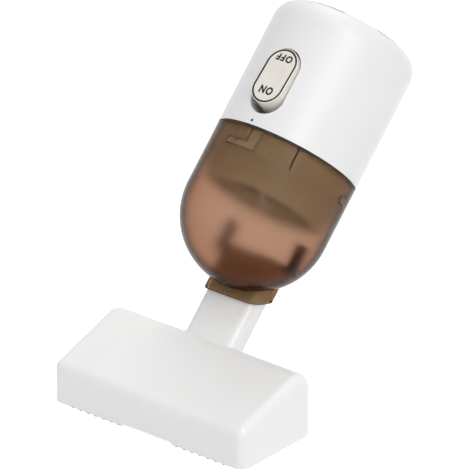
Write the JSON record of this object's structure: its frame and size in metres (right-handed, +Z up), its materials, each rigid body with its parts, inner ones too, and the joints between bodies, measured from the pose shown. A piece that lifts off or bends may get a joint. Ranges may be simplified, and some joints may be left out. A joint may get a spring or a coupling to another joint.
{
  "type": "mini vacuum cleaner",
  "caption": "Handheld desktop vacuum cleaner: a capsule motor unit with a rocker switch, a twist-off see-through dust cup, and a wide brush head on a flat tube.",
  "frame": {"origin": "centre of the bounding box on the floor, level with the bristle tips", "axes": "+X along the brush head, +Y the way the body leans back, +Z up"},
  "size_m": [0.1, 0.1482, 0.1517],
  "materials": {
    "white_shell": "satin moulded plastic",
    "pale_plastic": "moulded plastic",
    "grey_plastic": "moulded plastic",
    "black_plastic": "moulded plastic",
    "brown_clear": "tinted see-through plastic",
    "steel": "plated steel",
    "core_steel": "stacked steel sheets",
    "magnet": "ferrite",
    "brass": "bare brass",
    "bronze": "sintered bronze or copper",
    "board": "solder resist",
    "cell_wrap": "foil pouch",
    "red_wire": "insulated wire",
    "black_wire": "insulated wire",
    "black_rubber": "soft rubber",
    "filter_paper": "pleated filter paper",
    "bristle": "nylon bristle"
  },
  "bodies": {
    "motor_unit": {"motor_housing": "white_shell", "index_dot": "black_plastic", "switch_well": "grey_plastic", "rocker_pin": "steel", "switch_contacts": "brass", "circuit_board": "board", "board_components": "black_plastic", "charging_socket": "steel", "board_screws": "steel", "motor_plate": "grey_plastic", "motor_can": "steel", "motor_magnets": "magnet", "motor_end_cap": "black_plastic", "motor_terminals": "brass", "front_bushing": "bronze", "rear_bushing": "bronze", "motor_screws": "steel", "battery_cell": "cell_wrap", "battery_cradle": "grey_plastic", "motor_lead_red": "red_wire", "motor_lead_black": "black_wire", "battery_lead_red": "red_wire", "battery_lead_black": "black_wire", "bayonet_collar": "pale_plastic", "lock_mark": "black_plastic", "collar_screws": "steel", "seal_ring": "black_rubber", "filter_frame": "pale_plastic", "filter_media": "filter_paper"},
    "rotor": {"motor_shaft": "steel", "armature_core": "core_steel", "commutator": "bronze", "fan_impeller": "grey_plastic"},
    "rocker": {"switch_rocker": "white_shell", "rocker_ring": "black_plastic"},
    "cup": {"dust_cup": "brown_clear", "inlet_duct": "brown_clear"},
    "brush_head": {"head_shell": "white_shell", "front_brush_left": "bristle", "front_brush_right": "bristle", "rear_brush_left": "bristle", "rear_brush_right": "bristle"}
  },
  "joints": [
    {"name": "rotor_spin", "type": "hinge", "parent": "motor_unit", "child": "rotor", "pos_m": [0, 0.01444, 0.09199], "axis": [0, 0.7071, 0.7071], "continuous": true},
    {"name": "switch_rock", "type": "hinge", "parent": "motor_unit", "child": "rocker", "pos_m": [0, 0.01452, 0.12091], "axis": [1, 0, 0], "range_deg": [0, 10]},
    {"name": "cup_twist", "type": "hinge", "parent": "motor_unit", "child": "cup", "pos_m": [0, 0.01444, 0.09199], "axis": [0, 0.7071, 0.7071], "range_deg": [-20, 0]},
    {"name": "head_pull", "type": "slide", "parent": "cup", "child": "brush_head", "axis": [0, -0.7071, -0.7071], "range_m": [0, 0.03]}
  ]
}
